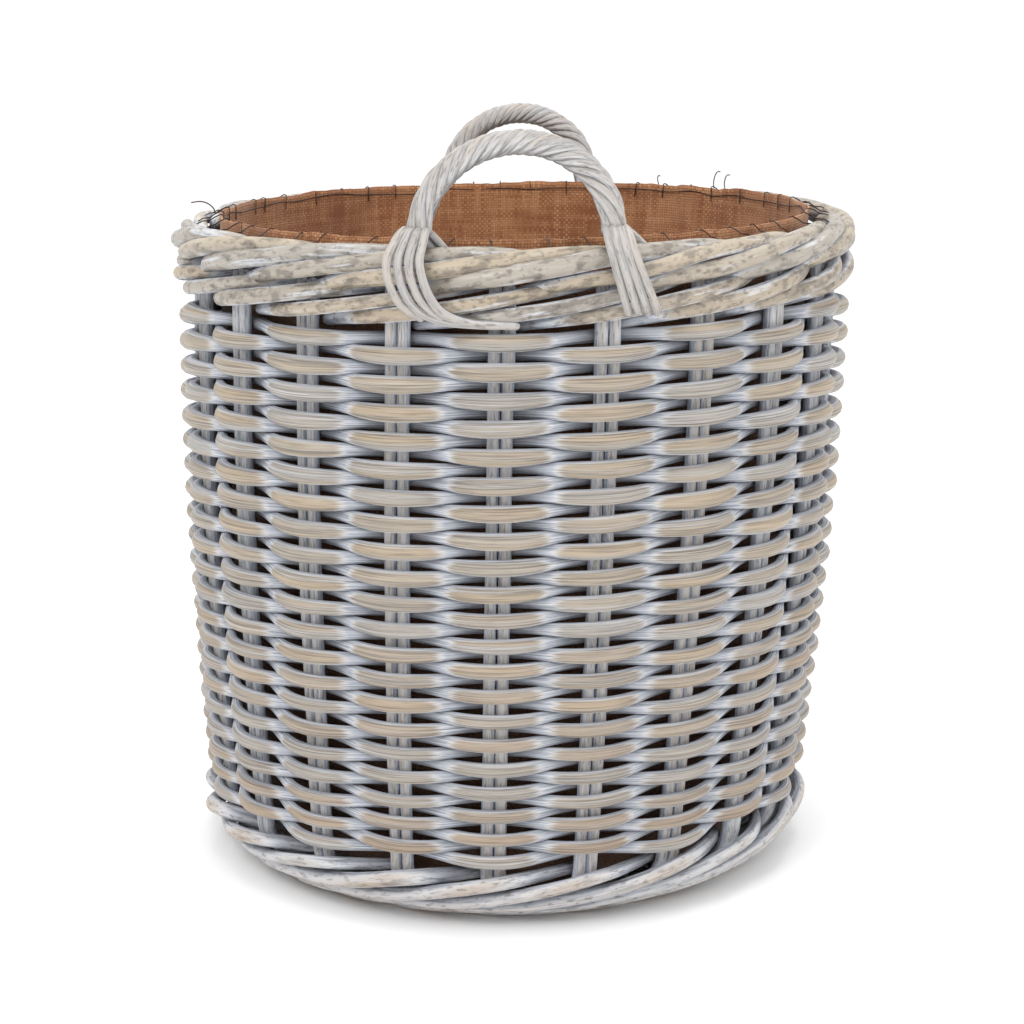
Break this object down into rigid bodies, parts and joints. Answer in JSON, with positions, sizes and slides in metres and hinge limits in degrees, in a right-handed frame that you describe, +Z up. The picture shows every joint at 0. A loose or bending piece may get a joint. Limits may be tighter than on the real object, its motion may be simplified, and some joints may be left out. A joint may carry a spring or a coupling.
{
  "type": "log basket",
  "caption": "Round woven rattan log basket with a rolled border, two rope-wrapped bow handles and a hessian liner, for holding firewood.",
  "frame": {"origin": "centre of the base, on the floor", "axes": "+Z up through the mouth of the basket, -Y towards the handle at the front, +X to the right seen from the front"},
  "size_m": [0.5191, 0.5193, 0.5702],
  "materials": {
    "weaver_rattan": "lime-washed",
    "stake_rattan": "lime-washed",
    "handle_cane": "lime-washed",
    "hessian": "woven",
    "wire": "dark"
  },
  "bodies": {
    "root": {"left_stakes": "stake_rattan", "right_stakes": "stake_rattan", "weaver_01": "weaver_rattan", "weaver_02": "weaver_rattan", "weaver_03": "weaver_rattan", "weaver_04": "weaver_rattan", "weaver_05": "weaver_rattan", "weaver_06": "weaver_rattan", "weaver_07": "weaver_rattan", "weaver_08": "weaver_rattan", "weaver_09": "weaver_rattan", "weaver_10": "weaver_rattan", "weaver_11": "weaver_rattan", "weaver_12": "weaver_rattan", "weaver_13": "weaver_rattan", "weaver_14": "weaver_rattan", "weaver_15": "weaver_rattan", "weaver_16": "weaver_rattan", "weaver_17": "weaver_rattan", "weaver_18": "weaver_rattan", "weaver_19": "weaver_rattan", "weaver_20": "weaver_rattan", "weaver_21": "weaver_rattan", "weaver_22": "weaver_rattan", "weaver_23": "weaver_rattan", "weaver_24": "weaver_rattan", "weaver_25": "weaver_rattan", "weaver_26": "weaver_rattan", "weaver_27": "weaver_rattan", "weaver_28": "weaver_rattan", "weaver_29": "weaver_rattan", "weaver_30": "weaver_rattan", "weaver_31": "weaver_rattan", "weaver_32": "weaver_rattan", "weaver_33": "weaver_rattan", "weaver_34": "weaver_rattan", "weaver_35": "weaver_rattan", "weaver_36": "weaver_rattan", "weaver_37": "weaver_rattan", "weaver_38": "weaver_rattan", "weaver_39": "weaver_rattan", "foot_rods": "weaver_rattan", "wale_rods": "weaver_rattan", "border_rods": "weaver_rattan", "base_sticks_lower": "stake_rattan", "base_sticks_upper": "stake_rattan", "base_rods": "weaver_rattan", "front_handle_core": "handle_cane", "front_handle_outer_strands": "handle_cane", "front_handle_inner_strands": "handle_cane", "back_handle_core": "handle_cane", "back_handle_outer_strands": "handle_cane", "back_handle_inner_strands": "handle_cane", "liner_side": "hessian", "liner_bottom": "hessian", "wire_loops": "wire", "binding_wire": "wire"}
  },
  "joints": []
}
